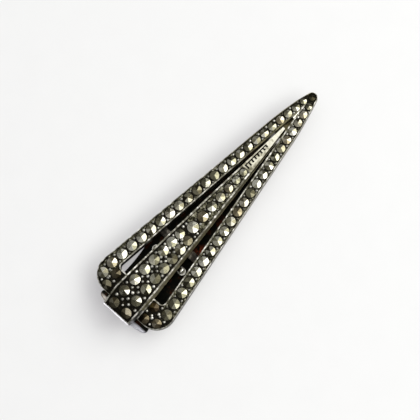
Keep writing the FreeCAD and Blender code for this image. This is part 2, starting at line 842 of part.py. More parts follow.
def make_brooch():
    arms = {
        "stones_left_arm": arm_row(-1, number("left_row_y")),
        "stones_right_arm": arm_row(1, number("right_row_y")),
        "stones_left_corner": left_corner(),
        "stones_right_corner": right_corner(),
        "stone_tip": [(0.0, number("tip_stone_y"), number("tip_stone"))],
    }
    wedge = {
        "stones_wedge_left": pair_row(-1),
        "stones_wedge_right": pair_row(1),
        "stones_wedge_single": single_row(),
    }
    pieces = [make_frame(sum(arms.values(), [])), make_wedge(sum(wedge.values(), []))]
    pieces += [stone_group(name, frame_top, stones) for name, stones in arms.items()]
    pieces += [stone_group(name, wedge_top, stones) for name, stones in wedge.items()]
    pieces += [
        make_end_wall(),
        make_bar("rear_bar", size("rear_bar_y"), size("rear_bar_half")),
        make_bar("front_bar", size("front_bar_y"), size("front_bar_half")),
        make_backing(),
        make_bracket(),
        make_pin(),
        make_ball("pin_ball_left", -1),
        make_ball("pin_ball_right", 1),
        make_spring(),
        make_lever(),
        make_comb(),
    ]
    return pieces


def check(pieces):
    failed = [o.Name for o in doc.Objects if {"Invalid", "Error"} & set(o.State)]
    bad = [p.Label for p in pieces if p.Shape.isNull() or not p.Shape.isValid() or not p.Shape.Solids]
    if failed or bad:
        raise RuntimeError(f"failed objects {failed}, bad shapes {bad}")


def export(pieces):
    os.makedirs(PARTS_FOLDER, exist_ok=True)
    for piece in pieces:
        piece.Shape.exportStep(os.path.join(PARTS_FOLDER, piece.Label + ".step"))
        box = piece.Shape.BoundBox
        spans = zip("xyz", (box.XMin, box.YMin, box.ZMin), (box.XMax, box.YMax, box.ZMax))
        extent = " ".join(f"{axis} {low:.2f} {high:.2f}" for axis, low, high in spans)
        print(f"{piece.Label:22} solids {len(piece.Shape.Solids):3} {extent}")


fill_sheet()
brooch = make_brooch()
doc.recompute()
check(brooch)
export(brooch)
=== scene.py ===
"""Looks of a marcasite clip brooch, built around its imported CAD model, in metres."""

import json
import math
import random

import bmesh
import bpy
from mathutils import Matrix, Vector
from mathutils.bvhtree import BVHTree
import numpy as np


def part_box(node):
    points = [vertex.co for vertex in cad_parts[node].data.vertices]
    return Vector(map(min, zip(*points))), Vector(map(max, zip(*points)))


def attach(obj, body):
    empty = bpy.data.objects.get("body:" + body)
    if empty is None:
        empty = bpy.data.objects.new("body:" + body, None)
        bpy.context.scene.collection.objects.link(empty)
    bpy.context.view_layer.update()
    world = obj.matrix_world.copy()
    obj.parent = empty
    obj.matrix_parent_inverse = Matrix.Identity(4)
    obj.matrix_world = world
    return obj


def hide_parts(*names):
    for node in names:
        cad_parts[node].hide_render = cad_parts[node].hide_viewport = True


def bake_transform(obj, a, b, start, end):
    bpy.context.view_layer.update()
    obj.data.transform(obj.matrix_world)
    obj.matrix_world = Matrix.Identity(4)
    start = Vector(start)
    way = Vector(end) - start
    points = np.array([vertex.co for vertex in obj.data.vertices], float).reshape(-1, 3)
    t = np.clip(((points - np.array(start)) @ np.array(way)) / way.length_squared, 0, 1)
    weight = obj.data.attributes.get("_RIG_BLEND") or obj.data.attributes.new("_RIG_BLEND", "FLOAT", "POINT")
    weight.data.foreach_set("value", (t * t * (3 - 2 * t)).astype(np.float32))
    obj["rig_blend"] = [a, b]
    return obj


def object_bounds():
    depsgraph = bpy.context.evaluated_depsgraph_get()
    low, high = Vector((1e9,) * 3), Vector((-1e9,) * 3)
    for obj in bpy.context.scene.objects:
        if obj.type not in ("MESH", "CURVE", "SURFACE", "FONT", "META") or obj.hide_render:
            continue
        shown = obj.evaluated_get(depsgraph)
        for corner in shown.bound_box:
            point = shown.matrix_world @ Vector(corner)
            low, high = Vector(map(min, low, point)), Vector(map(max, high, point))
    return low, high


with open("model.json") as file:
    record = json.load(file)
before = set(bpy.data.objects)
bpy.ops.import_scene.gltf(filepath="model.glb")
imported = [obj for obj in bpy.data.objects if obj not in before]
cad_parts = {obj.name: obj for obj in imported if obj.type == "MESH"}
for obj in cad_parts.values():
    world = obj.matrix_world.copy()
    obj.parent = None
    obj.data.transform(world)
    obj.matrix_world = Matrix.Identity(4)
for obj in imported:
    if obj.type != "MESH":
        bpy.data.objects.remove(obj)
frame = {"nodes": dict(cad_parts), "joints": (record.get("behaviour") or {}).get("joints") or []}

MM = 0.001
CAD_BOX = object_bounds()
RANDOM = random.Random(11)

# the setting
SEAT_DEPTH = 0.12 * MM  # the stones' seats are sunk this far into the floor
RECESS = 0.35 * MM  # the floor is this far under the rims
SLOT_RIM = 0.22 * MM
SLOT_HALF = 5.6 * MM  # outer edge of the slots at their wide end
SLOT_END_Y = -21.4 * MM
SLOT_APEX_Y = 24.0 * MM
WEDGE_RIM = 0.26 * MM
WEDGE_HALF = 3.32 * MM  # half the wedge's width where it is widest
WEDGE_TAPER_Y = -24.5 * MM
WEDGE_TIP_HALF = 0.24 * MM
WEDGE_END_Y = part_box("centre_wedge")[1].y
PLAIN_START_Y = 8.5 * MM  # the wedge is plain from here to its tip

# grains, leaves and threads of metal between the stones
GRAIN = 0.29 * MM  # usual radius of a grain
GRAIN_LIFT = 0.16 * MM  # its middle stands this far above the floor
GRAIN_SIDES = 14
GRAIN_PROFILE = ((0.0, 0.66), (0.42, 0.61), (0.76, 0.44), (0.97, 0.1), (1.04, -0.35), (1.15, -0.9))
GAP = 0.15 * MM  # groove between a stone and the leaf beside it
LEAF_FOOT = 0.05 * MM  # leaves reach this far into the floor
LEAF_STEPS = 5
THREAD = 0.07 * MM  # radius
THREAD_SET = 0.36 * MM  # the thread's distance from the edge of the slot
THREAD_START_Y = -20.9 * MM
THREAD_END_Y = 19.5 * MM
THREAD_STEPS = 40
RIDGE = 0.27 * MM  # radius where it starts
RIDGE_START_Y = 21.9 * MM
RIDGE_END_Y = 25.2 * MM
RIDGE_STEPS = 8


# ---------------------------------------------------------------- meshes

def welded(node):
    """The CAD node's mesh with its split corners joined."""
    bm = bmesh.new()
    bm.from_mesh(frame["nodes"][node].data)
    bmesh.ops.remove_doubles(bm, verts=bm.verts, dist=0.0005 * MM)
    return bm


def islands(bm):
    """The mesh's separate solids, as lists of vertices, in the same order on each run."""
    left = set(bm.verts)
    found = []
    for start in bm.verts:
        if start not in left:
            continue
        left.remove(start)
        island, queue = [], [start]
        while queue:
            vert = queue.pop()
            island.append(vert)
            for edge in vert.link_edges:
                other = edge.other_vert(vert)
                if other in left:
                    left.remove(other)
                    queue.append(other)
        found.append(island)
    return found


def make_object(name, bm, materials, smooth_angle=30.0):
    """A piece from a finished bmesh, smooth except at edges sharper than the angle."""
    bmesh.ops.recalc_face_normals(bm, faces=bm.faces)
    for face in bm.faces:
        face.smooth = True
    for edge in bm.edges:
        edge.smooth = edge.is_manifold and edge.calc_face_angle(0.0) < math.radians(smooth_angle)
    mesh = bpy.data.meshes.new(name)
    bm.to_mesh(mesh)
    bm.free()
    for material in materials:
        mesh.materials.append(material)
    piece = bpy.data.objects.new(name, mesh)
    bpy.context.scene.collection.objects.link(piece)
    return piece


def ease_edges(piece, width, angle, segments=2):
    """Rounds the sharp edges."""
    bevel = piece.modifiers.new("eased", "BEVEL")
    bevel.width = width
    bevel.segments = segments
    bevel.limit_method = "ANGLE"
    bevel.angle_limit = math.radians(angle)
    bevel.harden_normals = True


def mount(piece, body, slot, *replaced):
    """Fixes the piece to its body, in place of the CAD nodes that it replaces."""
    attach(piece, body)
    if replaced:
        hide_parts(*replaced)


def lathe(bm, centre, up, profile, sides, turn=0.0):
    """A round solid: its profile (radius, height) runs from its top on the axis to its foot.

    Returns the solid's faces.
    """
    across = up.orthogonal().normalized()
    other = up.cross(across)
    rings = []
    for radius, height in profile[1:]:
        ring = []
        for i in range(sides):
            angle = turn + math.tau * i / sides
            out = across * math.cos(angle) + other * math.sin(angle)
            ring.append(bm.verts.new(centre + out * radius + up * height))
        rings.append(ring)
    top = bm.verts.new(centre + up * profile[0][1])
    faces = [bm.faces.new(rings[-1])]
    for i in range(sides):
        j = (i + 1) % sides
        faces.append(bm.faces.new((top, rings[0][i], rings[0][j])))
        for upper, lower in zip(rings, rings[1:]):
            faces.append(bm.faces.new((upper[i], lower[i], lower[j], upper[j])))
    return faces


def sweep(bm, points, radii, sides=8):
    """A round wire along the points, with a radius for each point and closed ends."""
    rings = []
    reference = Vector((0, 0, 1))
    for i, point in enumerate(points):
        ahead = points[min(i + 1, len(points) - 1)] - points[max(i - 1, 0)]
        ahead.normalize()
        side = ahead.cross(reference)
        if side.length < 0.1:
            side = ahead.orthogonal()
        side.normalize()
        reference = side.cross(ahead).normalized()
        ring = []
        for k in range(sides):
            angle = math.tau * k / sides
            out = side * math.cos(angle) + reference * math.sin(angle)
            ring.append(bm.verts.new(point + out * radii[i]))
        rings.append(ring)
    for near, far in zip(rings, rings[1:]):
        for k in range(sides):
            j = (k + 1) % sides
            bm.faces.new((near[k], near[j], far[j], far[k]))
    bm.faces.new(rings[0])
    bm.faces.new(rings[-1])


def slab(bm, outline, up, height):
    """A flat-topped solid: the outline's points, raised by the height."""
    low = [bm.verts.new(p) for p in outline]
    high = [bm.verts.new(p + up * height) for p in outline]
    bm.faces.new(low)
    bm.faces.new(high)
    for i in range(len(outline)):
        j = (i + 1) % len(outline)
        bm.faces.new((low[i], low[j], high[j], high[i]))


# ---------------------------------------------------------------- materials

TAB_END_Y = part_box("clip_lever")[0].y
# red-brown residue on the lever: its middle is above the plate, so the underside stays clean
STAIN_PLACE = (3.4 * MM, -8.6 * MM, 2.4 * MM)
STAIN_INNER = 1.7 * MM
STAIN_OUTER = 2.3 * MM


class Finish:
    """One procedural material: a Principled shader and the nodes that feed it."""

    def __init__(self, name, **constants):
        self.material = bpy.data.materials.new(name)
        self.material.use_nodes = True
        self.tree = self.material.node_tree
        self.shader = self.tree.nodes["Principled BSDF"]
        self.place = self.node("ShaderNodeTexCoord").outputs["Object"]
        for socket, value in constants.items():
            self.shader.inputs[socket.replace("_", " ")].default_value = value

    def node(self, kind, **settings):
        made = self.tree.nodes.new(kind)
        for name, value in settings.items():
            setattr(made, name, value)
        return made

    def feed(self, source, target):
        self.tree.links.new(source, target)

    def stretched(self, x, y, z):
        """Coordinates scaled along each axis."""
        mapping = self.node("ShaderNodeMapping")
        mapping.inputs["Scale"].default_value = (x, y, z)
        self.feed(self.place, mapping.inputs["Vector"])
        return mapping.outputs["Vector"]

    def noise(self, size, detail=4.0, roughness=0.55, place=None):
        """Noise with features of about this size in metres."""
        texture = self.node("ShaderNodeTexNoise")
        texture.inputs["Scale"].default_value = 1.0 / size
        texture.inputs["Detail"].default_value = detail
        texture.inputs["Roughness"].default_value = roughness
        self.feed(place or self.place, texture.inputs["Vector"])
        return texture.outputs["Fac"]

    def spread(self, factor, low, high, from_low=0.3, from_high=0.7):
        """The factor mapped to a range of numbers."""
        ranged = self.node("ShaderNodeMapRange")
        ranged.inputs["From Min"].default_value = from_low
        ranged.inputs["From Max"].default_value = from_high
        ranged.inputs["To Min"].default_value = low
        ranged.inputs["To Max"].default_value = high
        self.feed(factor, ranged.inputs["Value"])
        return ranged.outputs["Result"]

    def ramp(self, factor, *stops):
        """Colours along the factor, as (position, (r, g, b))."""
        ramp = self.node("ShaderNodeValToRGB")
        points = ramp.color_ramp.elements
        while len(points) < len(stops):
            points.new(0.5)
        for point, (position, colour) in zip(points, stops):
            point.position = position
            point.color = (*colour, 1.0)
        self.feed(factor, ramp.inputs["Fac"])
        return ramp.outputs["Color"]

    def blend(self, factor, first, second, how="MIX"):
        mix = self.node("ShaderNodeMix", data_type="RGBA", blend_type=how)
        self.feed(factor, mix.inputs["Factor"])
        self.feed(first, mix.inputs[6])
        self.feed(second, mix.inputs[7])
        return mix.outputs[2]

    def product(self, first, second):
        times = self.node("ShaderNodeMath", operation="MULTIPLY")
        self.feed(first, times.inputs[0])
        self.feed(second, times.inputs[1])
        return times.outputs[0]

    def axis(self, name):
        split = self.node("ShaderNodeSeparateXYZ")
        self.feed(self.place, split.inputs["Vector"])
        return split.outputs[name]

    def near(self, place, inner, outer):
        """1 within the inner distance of a place, falling to 0 at the outer."""
        apart = self.node("ShaderNodeVectorMath", operation="DISTANCE")
        self.feed(self.place, apart.inputs[0])
        apart.inputs[1].default_value = place
        return self.spread(apart.outputs["Value"], 1.0, 0.0, inner, outer)

    def attribute(self, name):
        return self.node("ShaderNodeAttribute", attribute_name=name).outputs["Fac"]

    def bump(self, height, depth, strength=1.0):
        bump = self.node("ShaderNodeBump")
        bump.inputs["Strength"].default_value = strength
        bump.inputs["Distance"].default_value = depth
        self.feed(height, bump.inputs["Height"])
        previous = self.shader.inputs["Normal"].links
        if previous:
            self.feed(previous[0].from_socket, bump.inputs["Normal"])
        self.feed(bump.outputs["Normal"], self.shader.inputs["Normal"])

    def set(self, socket, source):
        self.feed(source, self.shader.inputs[socket])


def bright_silver():
    """Worn bright metal, cream in the light: the wedge's plain tip and the ridge beyond it."""
    f = Finish("bright_silver", Metallic=1.0)
    tone = f.noise(0.9 * MM, 5.0)
    dulled = f.ramp(tone, (0.36, (0.12, 0.11, 0.07)), (0.5, (0.36, 0.34, 0.24)), (0.62, (0.6, 0.58, 0.46)))
    rubbed = f.ramp(tone, (0.34, (0.4, 0.38, 0.28)), (0.5, (0.74, 0.72, 0.6)))
    worn = f.spread(f.axis("Y"), 0.0, 1.0, 8.0 * MM, 19.0 * MM)
    f.set("Base Color", f.blend(worn, dulled, rubbed))
    f.set("Roughness", f.spread(f.noise(0.4 * MM), 0.26, 0.45))
    f.bump(f.noise(0.12 * MM, place=f.stretched(1.0, 0.25, 1.0)), 0.004 * MM)
    return f.material


def bead_silver():
    """Grains, some rubbed bright and others still dull, with dirt in their hollows."""
    f = Finish("bead_silver", Metallic=1.0)
    shine = f.ramp(f.attribute("tone"), (0.0, (0.07, 0.065, 0.045)), (1.0, (0.92, 0.9, 0.82)))
    grime = f.ramp(f.noise(0.3 * MM, 6.0), (0.38, (0.12, 0.11, 0.08)), (0.52, (1.0, 1.0, 1.0)))
    f.set("Base Color", f.blend(f.spread(f.noise(1.0 * MM), 0.3, 1.0), shine, grime, "MULTIPLY"))
    f.set("Roughness", f.spread(f.noise(0.3 * MM), 0.32, 0.58))
    f.bump(f.noise(0.12 * MM), 0.01 * MM)
    return f.material


def rim_silver():
    """Rims, dulled grey and only here and there rubbed bright; left of the tip they darken to olive, which is
    painted shade.
    """
    f = Finish("rim_silver", Metallic=1.0)
    tone = f.noise(0.9 * MM, 6.0)
    dull = (0.34, (0.045, 0.041, 0.028))
    worn = f.ramp(tone, dull, (0.5, (0.24, 0.23, 0.18)), (0.64, (0.84, 0.82, 0.74)))
    olive = f.ramp(tone, dull, (0.66, (0.2, 0.18, 0.1)))
    # painted shade: the rims left of the axis turn dark olive towards the tip
    left = f.spread(f.axis("X"), 1.0, 0.0, -0.4 * MM, 0.0)
    painted_shade = f.product(left, f.spread(f.axis("Y"), 0.0, 1.0, 4.0 * MM, 12.0 * MM))
    f.set("Base Color", f.blend(painted_shade, worn, olive))
    f.set("Roughness", f.spread(f.noise(0.4 * MM), 0.32, 0.55))
    f.bump(f.noise(0.15 * MM, place=f.stretched(1.0, 0.3, 1.0)), 0.01 * MM)
    return f.material


def leaf_silver():
    """Chased metal around the stones: pale olive with dark nicks."""
    f = Finish("leaf_silver", Metallic=1.0)
    tone = f.noise(0.5 * MM, 6.0)
    nicks = (0.42, (0.012, 0.011, 0.006))
    f.set("Base Color", f.ramp(tone, nicks, (0.55, (0.1, 0.095, 0.058)), (0.7, (0.46, 0.44, 0.34))))
    f.set("Roughness", f.spread(f.noise(0.3 * MM), 0.28, 0.5))
    f.bump(f.noise(0.22 * MM, 3.0), 0.05 * MM)
    return f.material


def dark_silver():
    """Oxidised metal under and between the stones, with glints where the graver cut it."""
    f = Finish("dark_silver", Metallic=0.9)
    tone = f.noise(0.5 * MM, 6.0)
    black = f.ramp(tone, (0.35, (0.002, 0.0017, 0.001)), (0.65, (0.012, 0.01, 0.005)))
    glint = f.ramp(f.noise(0.28 * MM, 3.0), (0.62, (0.0, 0.0, 0.0)), (0.76, (0.2, 0.18, 0.12)))
    f.set("Base Color", f.blend(f.spread(tone, 0.4, 1.0), black, glint, "ADD"))
    f.set("Roughness", f.spread(tone, 0.4, 0.7))
    f.bump(f.noise(0.25 * MM), 0.05 * MM)
    return f.material


def wall_silver():
    """Outer walls, black at the wide end and greyer towards the tip, where the grey is a painted highlight.
    """
    f = Finish("wall_silver", Metallic=0.95)
    tone = f.noise(1.6 * MM, 5.0)
    black = f.ramp(tone, (0.35, (0.006, 0.005, 0.004)), (0.6, (0.04, 0.035, 0.026)), (0.8, (0.2, 0.18, 0.14)))
    grey = f.ramp(tone, (0.35, (0.06, 0.055, 0.036)), (0.6, (0.24, 0.22, 0.16)), (0.8, (0.6, 0.57, 0.45)))
    # painted highlight: the walls lighten from black to grey and cream towards the tip
    f.set("Base Color", f.blend(f.spread(f.axis("Y"), 0.0, 1.0, -18.0 * MM, 8.0 * MM), black, grey))
    f.set("Roughness", f.spread(f.noise(0.5 * MM), 0.26, 0.5))
    f.bump(f.noise(0.2 * MM, place=f.stretched(1.0, 0.3, 1.0)), 0.012 * MM)
    return f.material


def polished_silver():
    """The end wall, rubbed bright, with fine scratches."""
    f = Finish("polished_silver", Metallic=1.0)
    patches = f.noise(1.2 * MM)
    f.set("Base Color", f.ramp(patches, (0.3, (0.56, 0.55, 0.57)), (0.65, (0.86, 0.85, 0.87))))
    f.set("Roughness", f.spread(f.noise(0.35 * MM), 0.2, 0.38))
    f.bump(f.noise(0.06 * MM, place=f.stretched(0.3, 1.0, 1.0)), 0.004 * MM)
    return f.material


def ball_silver():
    """The pin's balls: smooth, tarnished brown away from where they are rubbed."""
    f = Finish("ball_silver", Metallic=1.0)
    tone = f.noise(0.9 * MM, 4.0)
    f.set("Base Color", f.ramp(tone, (0.32, (0.16, 0.15, 0.11)), (0.5, (0.62, 0.61, 0.54))))
    f.set("Roughness", f.spread(tone, 0.1, 0.24))
    f.bump(f.noise(0.15 * MM), 0.006 * MM)
    return f.material


def back_silver():
    """Blackened bars and bracket behind the front, dimly glinting."""
    f = Finish("back_silver", Metallic=1.0)
    tone = f.noise(0.9 * MM, 5.0)
    black = (0.32, (0.008, 0.007, 0.006))
    f.set("Base Color", f.ramp(tone, black, (0.55, (0.045, 0.04, 0.033)), (0.75, (0.26, 0.24, 0.2))))
    f.set("Roughness", f.spread(f.noise(0.4 * MM), 0.25, 0.5))
    f.bump(f.noise(0.15 * MM, place=f.stretched(0.3, 1.0, 1.0)), 0.01 * MM)
    return f.material


def under_silver():
    """Undersides, filed lengthwise and tarnished grey."""
    f = Finish("under_silver", Metallic=1.0)
    tone = f.noise(1.3 * MM, 6.0)
    tarnish = (0.32, (0.07, 0.063, 0.048))
    f.set("Base Color", f.ramp(tone, tarnish, (0.5, (0.27, 0.25, 0.2)), (0.68, (0.52, 0.5, 0.43))))
    f.set("Roughness", f.spread(f.noise(0.5 * MM), 0.26, 0.5))
    f.bump(f.noise(0.1 * MM, place=f.stretched(1.0, 0.08, 1.0)), 0.008 * MM)
    return f.material


def olive_silver():
    """Brassy olive tarnish on the wedge's flanks and the plate behind the tip."""
    f = Finish("olive_silver", Metallic=0.8)
    tone = f.noise(0.6 * MM, 5.0)
    f.set("Base Color", f.ramp(tone, (0.35, (0.08, 0.066, 0.026)), (0.65, (0.34, 0.3, 0.16))))
    f.set("Roughness", f.spread(tone, 0.35, 0.6))
    f.bump(f.noise(0.2 * MM), 0.02 * MM)
    return f.material


def lever_silver():
    """Lever painted near-black, a painted shade for where it lies under the frame; only the end of its tab
    shows bare metal, tan to the left.
    """
    f = Finish("lever_silver", Metallic=1.0)
    tone = f.noise(1.8 * MM, 6.0)
    # painted shade: the lever's top is near-black because it lies in the frame's shadow
    black = f.ramp(
        tone,
        (0.3, (0.0025, 0.003, 0.0025)),
        (0.55, (0.008, 0.008, 0.006)),
        (0.7, (0.05, 0.014, 0.006)),
        (0.85, (0.07, 0.055, 0.04)),
    )
    bare = f.ramp(tone, (0.3, (0.50, 0.49, 0.52)), (0.6, (0.82, 0.82, 0.88)))
    stain = f.spread(f.noise(0.8 * MM, 4.0), 0.0, 1.0, 0.42, 0.5)
    stained = f.product(stain, f.near(STAIN_PLACE, STAIN_INNER, STAIN_OUTER))
    black = f.blend(stained, black, f.ramp(tone, (0.3, (0.06, 0.012, 0.005)), (0.7, (0.14, 0.03, 0.012))))
    tan = f.ramp(tone, (0.3, (0.25, 0.2, 0.16)), (0.6, (0.6, 0.56, 0.5)))
    rubbed = f.blend(f.spread(f.axis("X"), 0.0, 1.0, -3.6 * MM, -1.0 * MM), tan, bare)
    # painted shade: bare metal only within 0.95 mm of the tab's end, near-black from 1.35 mm in, which makes
    # the dark band beside the arms
    worn = f.spread(f.axis("Y"), 1.0, 0.0, TAB_END_Y + 0.95 * MM, TAB_END_Y + 1.35 * MM)
    f.set("Base Color", f.blend(worn, black, rubbed))
    f.set("Roughness", f.spread(f.noise(0.6 * MM), 0.26, 0.5))
    f.bump(f.noise(0.12 * MM, place=f.stretched(1.0, 0.15, 1.0)), 0.008 * MM)
    return f.material


def marcasite():
    """Cut pyrite: olive grey, each facet a little different."""
    f = Finish("marcasite", Metallic=1.0)
    facet = f.attribute("tone")
    grey = f.ramp(facet, (0.0, (0.03, 0.028, 0.016)), (0.45, (0.25, 0.24, 0.16)), (1.0, (0.72, 0.71, 0.6)))
    brass = f.ramp(facet, (0.0, (0.05, 0.034, 0.018)), (0.5, (0.25, 0.2, 0.12)), (1.0, (0.7, 0.62, 0.48)))
    colour = f.blend(f.attribute("warmth"), grey, brass)
    pits = f.ramp(f.noise(0.22 * MM, 6.0), (0.33, (0.3, 0.28, 0.22)), (0.45, (1.0, 1.0, 1.0)))
    f.set("Base Color", f.blend(f.spread(f.noise(0.8 * MM), 0.1, 0.8), colour, pits, "MULTIPLY"))
    f.set("Roughness", f.spread(f.noise(0.3 * MM), 0.12, 0.3))
    f.bump(f.noise(0.1 * MM), 0.006 * MM)
    return f.material


def spring_steel():
    """Drawn steel, dull grey with brown tarnish."""
    f = Finish("spring_steel", Metallic=1.0)
    tone = f.noise(0.7 * MM, 5.0)
    f.set("Base Color", f.ramp(tone, (0.35, (0.05, 0.042, 0.036)), (0.6, (0.3, 0.29, 0.28))))
    f.set("Roughness", f.spread(tone, 0.45, 0.25))
    f.bump(f.noise(0.08 * MM), 0.006 * MM)
    return f.material


BRIGHT = bright_silver()
BEAD = bead_silver()
RIM = rim_silver()
LEAF = leaf_silver()
BALL = ball_silver()
OLIVE = olive_silver()
DARK = dark_silver()
WALL = wall_silver()
POLISHED = polished_silver()
BACK = back_silver()
UNDER = under_silver()
LEVER = lever_silver()
STONE = marcasite()
STEEL = spring_steel()


# ---------------------------------------------------------------- stones

class Stone:
    """Where a CAD stone stands: the middle of its base, its axis and its sizes."""

    def __init__(self, verts):
        # dicts keep their order, so the sums below come out the same on each run
        faces = dict.fromkeys(f for v in verts for f in v.link_faces)
        base = [f for f in faces if f.normal.z < -0.8]
        self.up = -sum((f.normal * f.calc_area() for f in base), Vector()).normalized()
        corners = dict.fromkeys(v for f in base for v in f.verts)
        self.centre = sum((v.co for v in corners), Vector()) / len(corners)
        self.radius = max((v.co - self.centre).length for v in corners)
        heights = [(v.co - self.centre).dot(self.up) for v in verts]
        self.top = max(heights)
        self.girdle = min(h for h in heights if h > self.top / 5)
        self.floor = self.centre + self.up * SEAT_DEPTH


def read_stones(node):
    """The node's stones, from the wide end to the tip."""
    bm = welded(node)
    stones = [Stone(verts) for verts in islands(bm)]
    bm.free()
    return sorted(stones, key=lambda s: s.centre.y)


FACETS = 6
# the tip stone's and the corner stones' low tones are painted shade: those stones face away from the light
# where the front curves down
MOODS = {  # darkest, lightest and how brown, where a node's stones differ from the others
    "stone_tip": (0.0, 0.05, 0.1),
    "stones_right_arm": (0.25, 0.75, 0.0),
    "stones_left_corner": (0.05, 0.5, 0.5),
    "stones_right_corner": (0.0, 0.35, 1.0),
}
GIRDLE_STEPS = 4  # points along each facet's lower edge


def facet_height(apex, left, right, x, y):
    """Height at (x, y) of the plane through three points."""
    normal = (left - apex).cross(right - apex)
    return apex.z - (normal.x * (x - apex.x) + normal.y * (y - apex.y)) / normal.z


def add_stone(bm, layers, stone, mood):
    """A hand-cut rose: six facets that rise to a point slightly off the middle."""
    across = (Vector((1, 0, 0)) - stone.up * stone.up.x).normalized()
    matrix = Matrix((across, stone.up.cross(across), stone.up)).transposed()
    radius, girdle = stone.radius, stone.girdle
    rise = stone.top - girdle
    lean = RANDOM.uniform(0, math.tau)
    off = radius * RANDOM.uniform(0.0, 0.1)
    apex = Vector((off * math.cos(lean), off * math.sin(lean), girdle + rise * RANDOM.uniform(0.86, 0.99)))
    turn = math.radians(RANDOM.uniform(-50.0, -14.0))
    angles = [turn + math.tau * (k + RANDOM.uniform(-0.08, 0.08)) / FACETS for k in range(FACETS)]
    ends = []
    for angle in angles:
        height = girdle + rise * RANDOM.uniform(0.08, 0.2)
        ends.append(Vector((radius * math.cos(angle), radius * math.sin(angle), height)))
    edge, facets = [], []
    for k in range(FACETS):
        left, right = ends[k], ends[(k + 1) % FACETS]
        span = (angles[(k + 1) % FACETS] - angles[k]) % math.tau
        first = len(edge)
        edge.append(left)
        for step in range(1, GIRDLE_STEPS):
            angle = angles[k] + span * step / GIRDLE_STEPS
            x, y = radius * math.cos(angle), radius * math.sin(angle)
            edge.append(Vector((x, y, facet_height(apex, left, right, x, y))))
        facets.append(range(first, first + GIRDLE_STEPS + 1))

    def vert(point):
        return bm.verts.new(stone.centre + matrix @ point)

    tip = vert(apex)
    rim = [vert(p) for p in edge]
    foot = [vert(Vector((p.x, p.y, 0.0))) for p in edge]
    faces = [bm.faces.new([tip] + [rim[i % len(rim)] for i in facet]) for facet in facets]
    for i in range(len(rim)):
        j = (i + 1) % len(rim)
        faces.append(bm.faces.new((foot[i], foot[j], rim[j], rim[i])))
    faces.append(bm.faces.new(foot[::-1]))
    shade, warmth = mood
    for face in faces:
        face[layers[0]] = min(max(shade + RANDOM.uniform(-0.42, 0.42), 0.0), 1.0)
        face[layers[1]] = warmth


def make_stones(node, stones):
    bm = bmesh.new()
    layers = [bm.faces.layers.float.new(name) for name in ("tone", "warmth")]
    low, high, brown = MOODS.get(node, (0.3, 0.7, 0.0))
    for stone in stones:
        warm = RANDOM.uniform(0.0, 0.2) if RANDOM.random() < 0.85 else RANDOM.uniform(0.3, 0.6)
        warm = max(warm, brown * RANDOM.uniform(0.5, 1.0))
        add_stone(bm, layers, stone, (RANDOM.uniform(low, high), warm))
    piece = make_object(node + "_cut", bm, [STONE], smooth_angle=1.0)
    ease_edges(piece, 0.012 * MM, 8.0, 1)
    mount(piece, "setting", "marcasite", node)


ARM_NODES = ("stones_left_arm", "stones_right_arm")
CORNER_NODES = ("stones_left_corner", "stones_right_corner")
PAIR_NODES = ("stones_wedge_left", "stones_wedge_right")
stones = {n: read_stones(n) for n in frame["nodes"] if n.startswith("stone")}
for node, row in stones.items():
    make_stones(node, row)


# ---------------------------------------------------------------- the setting's metal

def interpolate(table, y):
    """A value at y from sorted (y, value) pairs, carried on past the ends."""
    for (y0, a), (y1, b) in zip(table, table[1:]):
        if y < y1:
            break
    return a + (b - a) * (y - y0) / (y1 - y0)


def table_of(rows, value):
    return sorted((s.floor.y, value(s)) for row in rows for s in row)


arm_rows = [stones[n] for n in ARM_NODES]
pair_rows = [stones[n] for n in PAIR_NODES]
single_row = stones["stones_wedge_single"]
frame_rows = [stones["stones_left_corner"], stones["stones_left_arm"][2:], stones["stone_tip"]]
frame_floor = table_of(frame_rows, lambda s: s.floor.z)
wedge_floor = table_of([pair_rows[0], single_row], lambda s: s.floor.z)
arm_middle = table_of([arm_rows[0]], lambda s: abs(s.floor.x))
BRIGHT_SLOT, RIM_SLOT, DARK_SLOT, WALL_SLOT, UNDER_SLOT, OLIVE_SLOT = range(6)
SETTING_FINISH = [BRIGHT, RIM, DARK, WALL, UNDER, OLIVE]


def slot_x(y):
    """Distance from the axis to the edge of the slots."""
    return SLOT_HALF * (SLOT_APEX_Y - y) / (SLOT_APEX_Y - SLOT_END_Y)


def outer_x(y):
    """Distance from the axis to the inside of the arms' outer rims."""
    return 2 * interpolate(arm_middle, y) - slot_x(y) - SLOT_RIM


def wedge_x(y):
    """Distance from the axis to the inside of the wedge's rims."""
    share = (y - WEDGE_TAPER_Y) / (WEDGE_END_Y - WEDGE_TAPER_Y)
    return WEDGE_HALF + (WEDGE_TIP_HALF - WEDGE_HALF) * share - WEDGE_RIM


def paint(bm, choose, splits=()):
    """Gives each face the material slot that the choice returns for its middle and normal.

    Flat faces are made whole first. Those that run across one of the splits, at these y, are then
    cut in two there.
    """
    bmesh.ops.dissolve_limit(bm, angle_limit=math.radians(0.4), verts=bm.verts, edges=bm.edges)
    for y in splits:
        everything = [*bm.verts, *bm.edges, *bm.faces]
        bmesh.ops.bisect_plane(bm, geom=everything, plane_co=(0, y, 0), plane_no=(0, 1, 0))
    bm.normal_update()
    for face in bm.faces:
        face.material_index = choose(face.calc_center_median(), face.normal)


def frame_choice(middle, normal):
    floor = interpolate(frame_floor, middle.y)
    if normal.z < -0.5:
        return UNDER_SLOT
    if normal.z > 0.5:
        return DARK_SLOT if middle.z < floor + RECESS / 2 else RIM_SLOT
    if middle.z > floor - RECESS / 2:
        return DARK_SLOT
    return WALL_SLOT


def wedge_choice(middle, normal):
    if normal.z < -0.5:
        return UNDER_SLOT
    if middle.y > PLAIN_START_Y:
        return BRIGHT_SLOT if normal.z > 0.5 else OLIVE_SLOT
    above = middle.z - interpolate(wedge_floor, middle.y)
    if normal.z > 0.5:
        return RIM_SLOT if above > RECESS / 2 else DARK_SLOT
    if abs(middle.x) > wedge_x(middle.y) + WEDGE_RIM * 0.6:
        return OLIVE_SLOT
    return DARK_SLOT if above > -RECESS / 2 else WALL_SLOT


